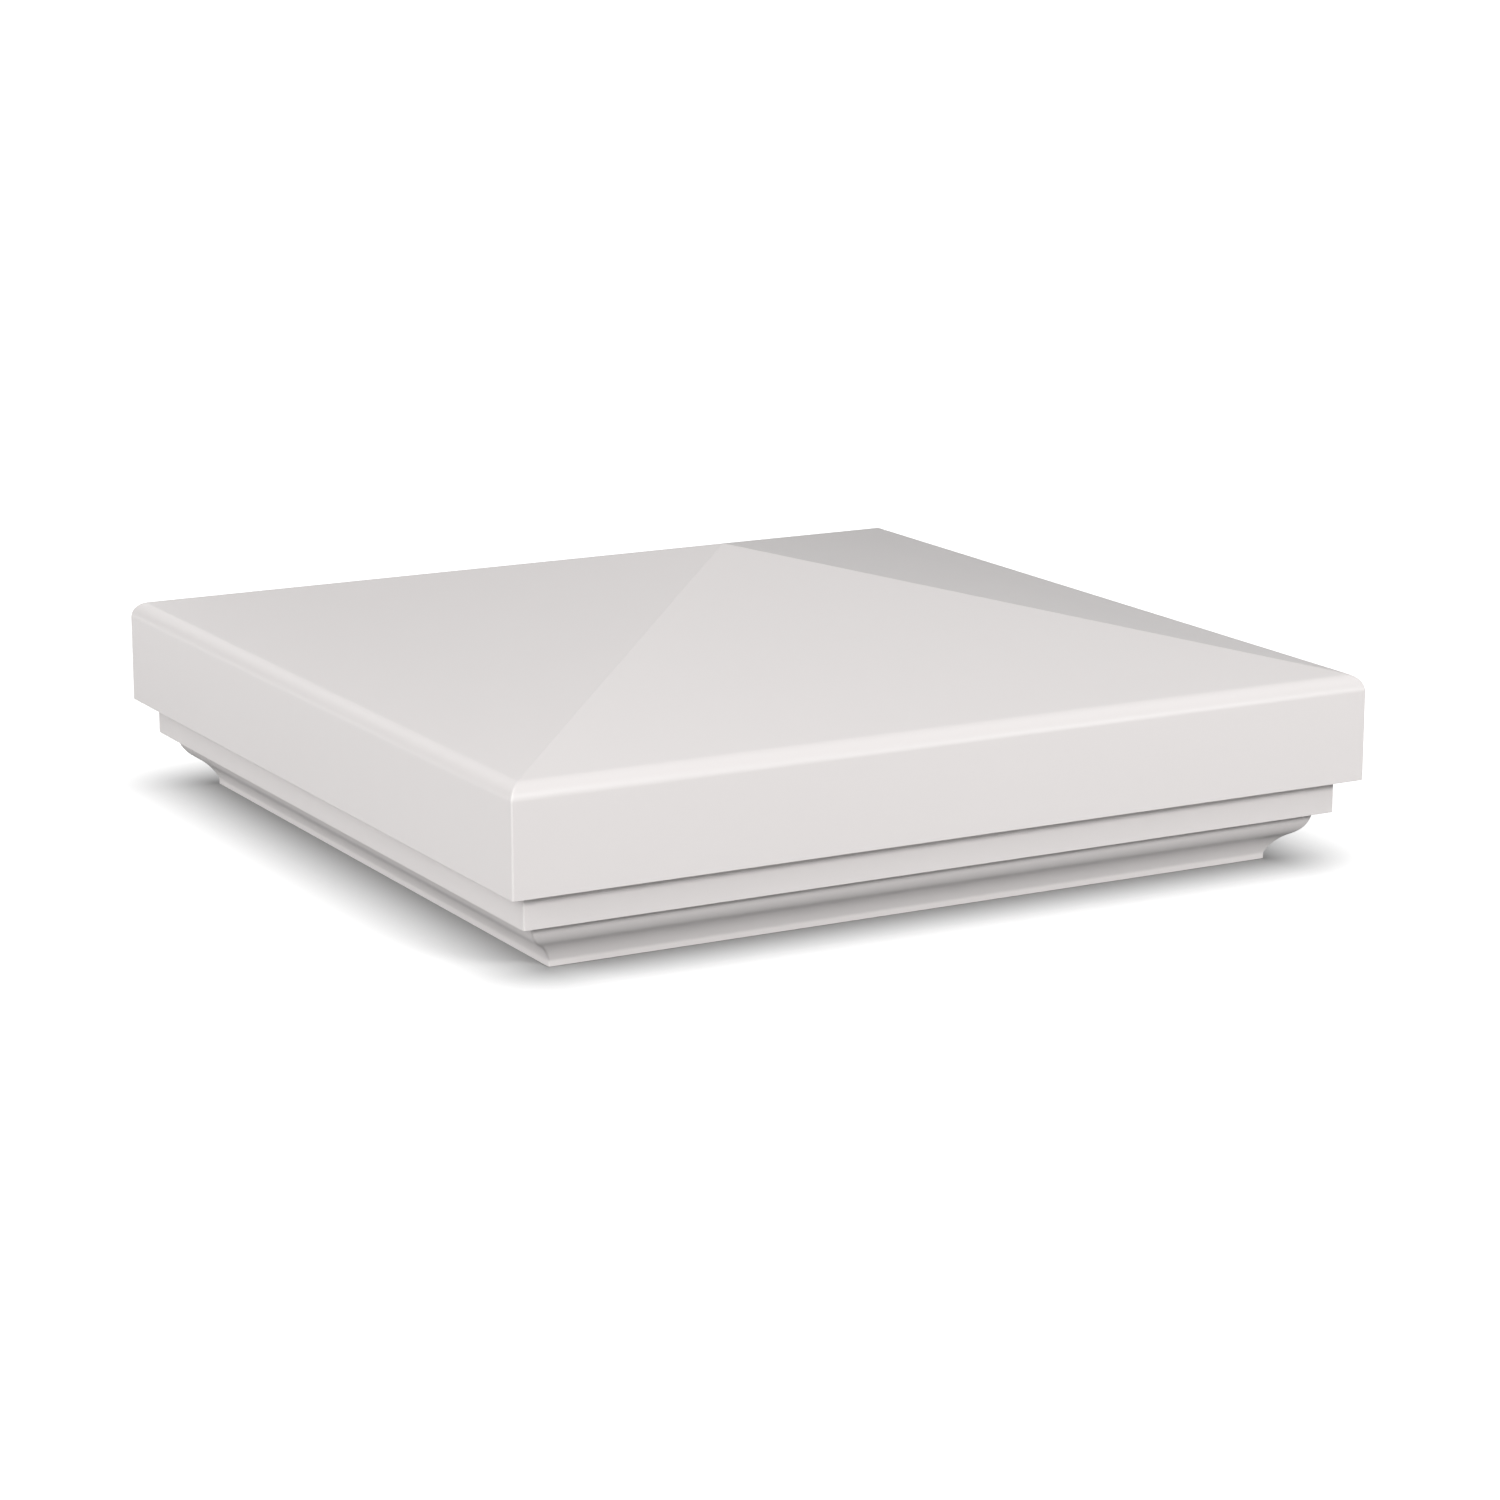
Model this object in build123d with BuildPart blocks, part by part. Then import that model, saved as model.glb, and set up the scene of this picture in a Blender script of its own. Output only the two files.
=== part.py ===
from build123d import *
import os
from math import cos, radians, sin, tan

# Pier cap for a balustrade, moulded in one piece and lying on its flat bed.
# Z is up, the origin is the middle of the bed, and all sizes are in millimetres.

# Plan: the bed, and how far the upper members stand out from the one below
bed_width = 300.0
band_projection = 5.4
slab_projection = 7.6

# Heights of the straight members, and the fall of the weathered top
lip_height = 1.6
band_height = 13.1
slab_height = 39.1
slope_angle = 12.1

# The moulding is an ogee. Above the lip a tight foot leans out by the first angle, a slack hollow
# carries on to the second, and a bell turns back upright.
foot_radius = 3.0
foot_turn = 24.0
hollow_radius = 16.3
moulding_turn = 61.0
bell_radius = 10.5

# The rolled upper edge of the slab, and the eased corners
edge_radius = 6.7
arris_radius = 0.8

# The hollow runs between these two leans
foot_lean = radians(foot_turn)
full_lean = radians(moulding_turn)

# Half widths of the members
bed_half = bed_width / 2
foot_half = bed_half + foot_radius * (1 - cos(foot_lean))
hollow_half = foot_half + hollow_radius * (cos(foot_lean) - cos(full_lean))
bell_half = hollow_half + bell_radius * (1 - cos(full_lean))
band_half = bell_half + band_projection
slab_half = band_half + slab_projection

# Levels, where edge_level is where the slab's face and slope would meet if the edge weren't rolled
foot_top = lip_height + foot_radius * sin(foot_lean)
hollow_top = foot_top + hollow_radius * (sin(full_lean) - sin(foot_lean))
moulding_top = hollow_top + bell_radius * sin(full_lean)
slab_level = moulding_top + band_height
edge_level = slab_level + slab_height
apex_level = edge_level + slab_half * tan(radians(slope_angle))

# How near an edge's middle has to be to a diagonal of the plan to count as a corner
corner_tolerance = 0.001


def at_corner(edge):
    middle = edge @ 0.5
    return abs(abs(middle.X) - abs(middle.Y)) < corner_tolerance


# The same section runs along both sides of the square, and the solid is what the two runs share,
# so every member is mitred at the four corners
with BuildPart() as pier_cap:
    for side, mode in ((Plane.XZ, Mode.ADD), (Plane.YZ, Mode.INTERSECT)):
        with BuildSketch(side):
            with BuildLine():
                lip = Polyline((0, 0), (bed_half, 0), (bed_half, lip_height))
                foot = JernArc(lip @ 1, (0, 1), foot_radius, -foot_turn)
                hollow = JernArc(foot @ 1, foot % 1, hollow_radius, foot_turn - moulding_turn)
                bell = JernArc(hollow @ 1, hollow % 1, bell_radius, moulding_turn)
                FilletPolyline(
                    bell @ 1,
                    (band_half, moulding_top),
                    (band_half, slab_level),
                    (slab_half, slab_level),
                    (slab_half, edge_level),
                    (0, apex_level),
                    radius=(0, 0, 0, edge_radius),
                )
                mirror(about=Plane.YZ)
            make_face()
        extrude(amount=slab_half, both=True, mode=mode)
    fillet(pier_cap.edges().filter_by(at_corner), radius=arris_radius)

pier_cap.part.label = "pier_cap"

os.makedirs("parts", exist_ok=True)
export_step(pier_cap.part, "parts/pier_cap.step")
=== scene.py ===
import bpy
from math import cos, pi, radians, sin, sqrt
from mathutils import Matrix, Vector


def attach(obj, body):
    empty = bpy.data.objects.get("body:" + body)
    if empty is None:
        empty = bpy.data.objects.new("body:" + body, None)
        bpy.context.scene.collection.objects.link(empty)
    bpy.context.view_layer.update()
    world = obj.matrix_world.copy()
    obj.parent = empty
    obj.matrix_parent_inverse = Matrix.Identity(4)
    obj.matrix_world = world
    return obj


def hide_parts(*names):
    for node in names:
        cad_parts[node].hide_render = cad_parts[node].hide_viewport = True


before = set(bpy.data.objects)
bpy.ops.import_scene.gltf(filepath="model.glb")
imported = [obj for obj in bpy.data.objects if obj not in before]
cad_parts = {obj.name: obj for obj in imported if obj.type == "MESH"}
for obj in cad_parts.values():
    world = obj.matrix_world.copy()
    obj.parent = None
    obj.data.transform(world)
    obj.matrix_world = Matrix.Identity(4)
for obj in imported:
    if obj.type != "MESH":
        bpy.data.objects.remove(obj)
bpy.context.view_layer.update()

# Everything below is in metres and radians unless a note says otherwise
mm = 0.001


class Wire:
    # A node's output that can be added, scaled and so on, each step adding its Math node
    def __init__(self, graph, socket):
        self.graph = graph
        self.socket = socket

    def __add__(self, other):
        return self.graph.math("ADD", self, other)

    def __radd__(self, other):
        return self.graph.math("ADD", other, self)

    def __sub__(self, other):
        return self.graph.math("SUBTRACT", self, other)

    def __rsub__(self, other):
        return self.graph.math("SUBTRACT", other, self)

    def __mul__(self, other):
        return self.graph.math("MULTIPLY", self, other)

    def __rmul__(self, other):
        return self.graph.math("MULTIPLY", other, self)

    def __truediv__(self, other):
        return self.graph.math("DIVIDE", self, other)

    def __rtruediv__(self, other):
        return self.graph.math("DIVIDE", other, self)

    def __gt__(self, other):
        return self.graph.math("GREATER_THAN", self, other)

    def __lt__(self, other):
        return self.graph.math("LESS_THAN", self, other)

    def __abs__(self):
        return self.graph.math("ABSOLUTE", self)


class Graph:
    def __init__(self, tree):
        self.tree = tree

    def node(self, kind, settings=None, sockets=None, output=0):
        # One way to add any node: its type, its settings, then the values or wires of its sockets
        made = self.tree.nodes.new(kind)
        for name, value in (settings or {}).items():
            setattr(made, name, value)
        self.feed(made, sockets or {})
        if made.outputs:
            return Wire(self, made.outputs[output])

    def feed(self, made, sockets):
        for name, value in sockets.items():
            if isinstance(value, Wire):
                self.tree.links.new(value.socket, made.inputs[name])
            else:
                made.inputs[name].default_value = value

    def math(self, operation, *values):
        return self.node("ShaderNodeMath", {"operation": operation}, dict(enumerate(values)))

    def part(self, vector, axis):
        return self.node("ShaderNodeSeparateXYZ", {}, {0: vector}, axis)

    def mix(self, factor, first, second):
        # The colour sockets of a Mix node share their names with others, so they go by place
        return self.node("ShaderNodeMix", {"data_type": "RGBA"}, {0: factor, 6: first, 7: second}, 2)

    def blend(self, factor, first, second):
        # Goes from the first shader to the second. Without a first one it starts from black.
        shaders = {1: first, 2: second} if first else {2: second}
        return self.node("ShaderNodeMixShader", {}, {0: factor, **shaders})

    def ramp(self, value, end, curve):
        # From 0 at 0 to 1 at the end, and 1 beyond it
        return self.node("ShaderNodeMapRange", {"interpolation_type": curve}, {
            "Value": value,
            "From Max": end,
        })

    def ray(self, kind):
        return self.node("ShaderNodeLightPath", {}, {}, kind)


def cleared(owner):
    # The node graph of a material or world, without the nodes it came with
    owner.use_nodes = True
    owner.node_tree.nodes.clear()
    return Graph(owner.node_tree)


def added(name, data):
    made = bpy.data.objects.new(name, data)
    bpy.context.scene.collection.objects.link(made)
    return made


def stand(thing, azimuth, height, distance, aim=(0, 0, 0)):
    # Puts a camera or lamp at a distance from its aim, facing it. Azimuth 0 is the front (-Y), and
    # 90 degrees the right (+X).
    back = Vector((sin(azimuth) * cos(height), -cos(azimuth) * cos(height), sin(height)))
    thing.location = Vector(aim) + back * distance
    thing.rotation_mode = "QUATERNION"
    thing.rotation_quaternion = (-back).to_track_quat("-Z", "Y")


# The camera stands where the photograph was taken from
cameraView = {
    "azimuth": radians(-28.95),
    "height": radians(13.44),
    "distance": 1.6376,
    "aim": (0.0092, -0.0049, 0.0278),
    "lens": 101.163,  # mm, and so is the sensor
    "sensor": 36.0,
}


def makeCamera():
    camera = added("camera", bpy.data.cameras.new("camera"))
    camera.data.sensor_width = cameraView["sensor"]
    camera.data.lens = cameraView["lens"]
    stand(
        camera,
        cameraView["azimuth"],
        cameraView["height"],
        cameraView["distance"],
        cameraView["aim"],
    )
    bpy.context.scene.camera = camera


makeCamera()
print("camera set")


cap = {
    # The same names and values as in the part's source
    "Bed Width": 300.0 * mm,
    "Band Projection": 5.4 * mm,
    "Slab Projection": 7.6 * mm,
    "Lip Height": 1.6 * mm,
    "Band Height": 13.1 * mm,
    "Slab Height": 39.1 * mm,
    "Slope Angle": radians(12.1),
    "Foot Radius": 3.0 * mm,
    "Foot Turn": radians(24.0),
    "Hollow Radius": 16.3 * mm,
    "Moulding Turn": radians(61.0),
    "Bell Radius": 10.5 * mm,
    "Edge Radius": 6.7 * mm,
    "Arris Radius": 0.8 * mm,
    # Only for the surface that is drawn here
    "Eased Radius": 0.15 * mm,  # on the lower edges of the members
    "Apex Flat": 0.3 * mm,  # half the width of the blunt tip
    "Arc Steps": 20,
    "Eased Steps": 4,
    "Corner Steps": 8,
    "Merge Distance": 0.002 * mm,
    "Sharp Angle": radians(35),  # an edge that bends more than this stays sharp
}


def capTree():
    # Draws the cap's section as a line, fillets it, and carries it round a square with eased corners
    tree = bpy.data.node_groups.new("capTree", "GeometryNodeTree")
    for name, value in cap.items():
        kind = "NodeSocketInt" if isinstance(value, int) else "NodeSocketFloat"
        tree.interface.new_socket(name, in_out="INPUT", socket_type=kind).default_value = value
    tree.interface.new_socket("Finish", in_out="INPUT", socket_type="NodeSocketMaterial")
    tree.interface.new_socket("Cap", in_out="OUTPUT", socket_type="NodeSocketGeometry")
    graph = Graph(tree)
    entry = graph.node("NodeGroupInput").socket.node
    size = {socket.name: Wire(graph, socket) for socket in entry.outputs if socket.name}

    # The ogee's foot leans out by the first angle, and its hollow on to the second
    lean, fullLean = size["Foot Turn"], size["Moulding Turn"]
    foot, hollow, bellow = size["Foot Radius"], size["Hollow Radius"], size["Bell Radius"]
    leanSine, leanCosine = graph.math("SINE", lean), graph.math("COSINE", lean)
    fullSine, fullCosine = graph.math("SINE", fullLean), graph.math("COSINE", fullLean)

    # Half widths and levels, from the bed up
    bed = size["Bed Width"] / 2
    footEnd = bed + foot * (1 - leanCosine)
    bell = footEnd + hollow * (leanCosine - fullCosine) + bellow * (1 - fullCosine)
    band = bell + size["Band Projection"]
    slab = band + size["Slab Projection"]
    footTop = size["Lip Height"] + foot * leanSine
    mouldingTop = footTop + hollow * (fullSine - leanSine) + bellow * fullSine
    slabLevel = mouldingTop + size["Band Height"]
    edgeLevel = slabLevel + size["Slab Height"]
    tip = size["Apex Flat"]
    tipLevel = edgeLevel + (slab - tip) * graph.math("TANGENT", size["Slope Angle"])

    # From the foot's end to where the tangents at both ends of the hollow meet
    tangent = hollow * graph.math("TANGENT", (fullLean - lean) / 2)

    # The section's corners before rounding, each with its place, its radius and its number of steps
    eased, easedSteps, arcSteps = size["Eased Radius"], size["Eased Steps"], size["Arc Steps"]
    corners = [
        (0.0, 0.0, 0.0, 1),
        (bed, 0.0, eased, easedSteps),
        (bed, size["Lip Height"] + foot * graph.math("TANGENT", lean / 2), foot, arcSteps),
        (footEnd + tangent * leanSine, footTop + tangent * leanCosine, hollow, arcSteps),
        (bell, mouldingTop - bellow * graph.math("TANGENT", fullLean / 2), bellow, arcSteps),
        (bell, mouldingTop, 0.0, 1),
        (band, mouldingTop, eased, easedSteps),
        (band, slabLevel, 0.0, 1),
        (slab, slabLevel, eased, easedSteps),
        (slab, edgeLevel, size["Edge Radius"], arcSteps),
        (tip, tipLevel, 0.0, 1),
        (0.0, tipLevel, 0.0, 1),
    ]
    outs, levels, radii, steps = zip(*corners)
    points = [graph.node("ShaderNodeCombineXYZ", {}, {"X": x, "Z": z}) for x, z in zip(outs, levels)]

    def pick(kind, values):
        # One value for each corner of the line, in turn
        switch = graph.node("GeometryNodeIndexSwitch", {"data_type": kind}).socket.node
        while len(switch.index_switch_items) < len(values):
            switch.index_switch_items.new()
        graph.feed(switch, {"Index": graph.node("GeometryNodeInputIndex")})
        graph.feed(switch, dict(enumerate(values, 1)))
        return Wire(graph, switch.outputs[0])

    line = graph.node("GeometryNodeMeshLine", {}, {"Count": len(corners)})
    line = graph.node("GeometryNodeMeshToCurve", {}, {"Mesh": line})
    line = graph.node("GeometryNodeSetPosition", {}, {
        "Geometry": line,
        "Position": pick("VECTOR", points),
    })
    line = graph.node("GeometryNodeFilletCurve", {"mode": "POLY"}, {
        "Curve": line,
        "Count": pick("INT", steps),
        "Radius": pick("FLOAT", radii),
    })

    # A grid whose rows are the section's points and whose columns go round the square
    rows = graph.node("GeometryNodeAttributeDomainSize", {"component": "CURVE"}, {"Geometry": line})
    perCorner = size["Corner Steps"] + 1
    columns = 4 * perCorner + 1
    grid = graph.node("GeometryNodeMeshGrid", {}, {"Vertices X": columns, "Vertices Y": rows})
    index = graph.node("GeometryNodeInputIndex")
    column = graph.math("FLOOR", (index + 0.5) / rows)  # the half keeps it off the rounding's edge
    row = index - column * rows

    def onSection(value):
        return graph.node("GeometryNodeSampleIndex", {"data_type": "FLOAT_VECTOR", "clamp": True}, {
            "Geometry": line,
            "Value": value,
            "Index": row,
        })

    place = onSection(graph.node("GeometryNodeInputPosition"))
    halfWidth, level = graph.part(place, "X"), graph.part(place, "Z")
    upright = abs(graph.part(onSection(graph.node("GeometryNodeInputTangent")), "Z"))

    # An eased corner is as wide in plan as the surface is upright, so the hips above are crisper
    above = level > slabLevel + size["Slab Height"] / 2
    ease = size["Arris Radius"] * (1 - above * (1 - upright))
    ease = graph.math("MINIMUM", ease, halfWidth)
    quarter = graph.math("FLOOR", (column + 0.5) / perCorner)
    step = column - quarter * perCorner
    angle = (quarter + step / size["Corner Steps"]) * (pi / 2)
    middle = (quarter + 0.5) * (pi / 2)
    diagonal = (halfWidth - ease) * sqrt(2)
    around = graph.node("ShaderNodeCombineXYZ", {}, {
        "X": diagonal * graph.math("COSINE", middle) + ease * graph.math("COSINE", angle),
        "Y": diagonal * graph.math("SINE", middle) + ease * graph.math("SINE", angle),
        "Z": level,
    })
    shell = graph.node("GeometryNodeSetPosition", {}, {"Geometry": grid, "Position": around})
    shell = graph.node("GeometryNodeMergeByDistance", {}, {
        "Geometry": shell,
        "Distance": size["Merge Distance"],
    })
    shell = graph.node("GeometryNodeSetShadeSmooth", {"domain": "FACE"}, {
        "Geometry": shell,
        "Shade Smooth": True,
    })
    shell = graph.node("GeometryNodeSetShadeSmooth", {"domain": "EDGE"}, {
        "Geometry": shell,
        "Selection": graph.node("GeometryNodeInputMeshEdgeAngle") > size["Sharp Angle"],
        "Shade Smooth": False,
    })
    shell = graph.node("GeometryNodeRealizeInstances", {}, {"Geometry": shell})
    shell = graph.node("GeometryNodeSetMaterial", {}, {"Geometry": shell, "Material": size["Finish"]})
    graph.node("NodeGroupOutput", {}, {"Cap": shell})
    return tree


# The satin primer: a sprayed skin with faint clouds of tone, and duller on the bed
primer = {
    "lightColor": (0.807, 0.777, 0.769, 1),
    "deepColor": (0.793, 0.763, 0.755, 1),
    "bedColor": (0.71, 0.68, 0.66, 1),
    "cloudScale": 9.0,  # features across a metre, here and in the two below
    "mottleScale": 62.0,
    "peelScale": 720.0,
    "cloudDetail": 2.0,
    "mottleDetail": 3.0,
    "peelDetail": 1.0,
    "cloudShare": 0.6,
    "mottleShare": 0.4,
    "peelDepth": 0.01 * mm,
    "roughness": 0.35,
    "roughnessSpread": 0.05,
    "diffuseRoughness": 0.33,
    "bedRoughness": 0.65,
    "bedLevel": 0.1 * mm,  # all below this has the bed's finish
}


def primedWhite():
    material = bpy.data.materials.new("primedWhite")
    graph = cleared(material)
    place = graph.node("ShaderNodeTexCoord", {}, {}, "Object")

    def noise(name):
        return graph.node("ShaderNodeTexNoise", {}, {
            "Vector": place,
            "Scale": primer[name + "Scale"],
            "Detail": primer[name + "Detail"],
        }, "Fac")

    mottle = noise("mottle")
    clouds = noise("cloud") * primer["cloudShare"] + mottle * primer["mottleShare"]
    onBed = graph.part(place, "Z") < primer["bedLevel"]
    color = graph.mix(clouds, primer["deepColor"], primer["lightColor"])
    color = graph.mix(onBed, color, primer["bedColor"])
    roughness = primer["roughness"] + (mottle - 0.5) * primer["roughnessSpread"]  # noise is about 0.5
    roughness = roughness + onBed * (primer["bedRoughness"] - roughness)
    surface = graph.node("ShaderNodeBsdfPrincipled", {}, {
        "Base Color": color,
        "Roughness": roughness,
        "Diffuse Roughness": primer["diffuseRoughness"],
        "Normal": graph.node("ShaderNodeBump", {}, {
            "Strength": 1.0,
            "Distance": primer["peelDepth"],
            "Height": noise("peel"),
        }),
    })
    graph.node("ShaderNodeOutputMaterial", {}, {"Surface": surface})
    return material


def makeCap():
    finish = primedWhite()
    stub = added("capStub", bpy.data.meshes.new("capStub"))
    section = stub.modifiers.new("section", "NODES")
    section.node_group = capTree()
    for socket in section.node_group.interface.items_tree:
        if socket.in_out == "INPUT":
            section[socket.identifier] = finish if socket.name == "Finish" else cap[socket.name]
    flat = stub.modifiers.new("flat faces", "WEIGHTED_NORMAL")
    flat.keep_sharp = True
    evaluated = bpy.context.evaluated_depsgraph_get()
    mesh = bpy.data.meshes.new_from_object(
        stub.evaluated_get(evaluated),
        preserve_all_data_layers=True,
        depsgraph=evaluated,
    )
    bpy.data.objects.remove(stub)
    mesh.name = "capMoulding"
    mesh.materials.pop(index=0)  # the empty slot that the tree's own grid brings
    print("cap made,", len(mesh.polygons), "faces,", [material.name for material in mesh.materials])
    return added("capMoulding", mesh)


moulding = makeCap()
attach(moulding, "root")
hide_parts("pier_cap")


# Studio: a pale floor that looks white but for the cap's shadow, cast by the lamps and also painted
# around the bed, a white room, and soft lamps
studio = {
    "floorReach": 40.0,  # half the floor's side
    "floorDrop": 0.1 * mm,  # under the bed
    "floorColor": (0.9, 0.9, 0.9, 1),
    # A painted shadow: the floor's colour against the bed, darker where the overhang would shut most
    # light out
    "paintedShadowColor": (0.4, 0.4, 0.4, 1),  # against the bed, where the overhang shuts most light out
    "bounceColor": (0.12, 0.12, 0.12, 1),  # for light on its way, so that little comes up again
    "white": (1, 1, 1, 1),
    # The painted shadow and the glow's ramp reach this far from the bed
    "paintedShadowReach": 0.085,  # this far from the bed the floor is all white for the camera
    # Painted shade in reflections: the floor glows less the nearer it is to the cap
    "paintedMirroredShadeReach": 1.1,  # and this far for reflections
    "roomLight": 0.15,
    "lampDistance": 2.2,
}
lamps = {
    # name: azimuth and height in degrees, diameter, and power in watts
    "front": (5, 25, 0.5, 24.4),
    "frontLow": (33, 10, 0.5, 6.6),
    "right": (75, 40, 1.8, 3.4),
    "camera": (-60, 30, 1.8, 15.0),
    "left": (-85, 20, 1.4, 21.5),
    "backLeft": (-120, 15, 1.0, 3.2),
    "back": (180, 10, 0.8, 3.5),
}


def paleFloor():
    material = bpy.data.materials.new("paleFloor")
    graph = cleared(material)
    place = graph.node("ShaderNodeTexCoord", {}, {}, "Object")

    # How far a place on the floor is from the bed's square, which sets the painted shadow around it
    def beyondBed(axis):
        return graph.math("MAXIMUM", abs(graph.part(place, axis)) - cap["Bed Width"] / 2, 0.0)

    beyondX, beyondY = beyondBed("X"), beyondBed("Y")
    away = graph.math("SQRT", beyondX * beyondX + beyondY * beyondY)

    # The painted shadow clears quickly beside the bed and then slowly, and as painted shade it reaches
    # further in reflections
    clear = graph.ramp(away, studio["paintedShadowReach"], "LINEAR")
    direct = clear * (2 - clear)
    mirrored = graph.ramp(away, studio["paintedMirroredShadeReach"], "SMOOTHSTEP")
    glow = mirrored + graph.ray("Is Camera Ray") * (direct - mirrored)

    def matt(name):
        return graph.node("ShaderNodeBsdfDiffuse", {}, {"Color": studio[name]})

    # The floor's colour is painted darker against the bed, a painted shadow on top of the lamps' own
    # shadows
    litFloorWithPaintedShadow = graph.blend(clear, matt("paintedShadowColor"), matt("floorColor"))
    shine = graph.node("ShaderNodeEmission", {}, {"Color": studio["white"]})
    white = graph.node("ShaderNodeAddShader", {}, {0: litFloorWithPaintedShadow, 1: graph.blend(glow, None, shine)})

    # The camera sees the white floor, also in a mirror or through glass, and other light a dim one
    indirect = graph.math("MAXIMUM", graph.ray("Is Glossy Ray"), graph.ray("Is Transmission Ray"))
    seen = graph.math("MAXIMUM", graph.ray("Is Camera Ray"), indirect)
    surface = graph.blend(seen, matt("bounceColor"), white)
    graph.node("ShaderNodeOutputMaterial", {}, {"Surface": surface})
    return material


def makeFloor():
    mesh = bpy.data.meshes.new("floor")
    far, level = studio["floorReach"], -studio["floorDrop"]
    corners = [(-far, -far, level), (far, -far, level), (far, far, level), (-far, far, level)]
    mesh.from_pydata(corners, [], [(0, 1, 2, 3)])
    mesh.materials.append(paleFloor())
    added("floor", mesh)


def makeRoom():
    world = bpy.data.worlds.new("room")
    bpy.context.scene.world = world
    graph = cleared(world)

    def walls(strength):
        return graph.node("ShaderNodeBackground", {}, {"Color": studio["white"], "Strength": strength})

    # The room is white to the camera and through glass, and in a satin skin as dim as its light
    straight = graph.math("MAXIMUM", graph.ray("Is Camera Ray"), graph.ray("Is Transmission Ray"))
    surface = graph.blend(straight, walls(studio["roomLight"]), walls(1.0))
    graph.node("ShaderNodeOutputWorld", {}, {"Surface": surface})


def makeLamps():
    for name, (azimuth, height, diameter, power) in lamps.items():
        data = bpy.data.lights.new(name, "AREA")
        data.shape = "DISK"
        data.size = diameter
        data.energy = power
        lamp = added(name, data)
        lamp.visible_camera = False
        stand(lamp, radians(azimuth), radians(height), studio["lampDistance"])


makeFloor()
makeRoom()
makeLamps()
bpy.context.scene.view_settings.view_transform = "Standard"
print("studio set")
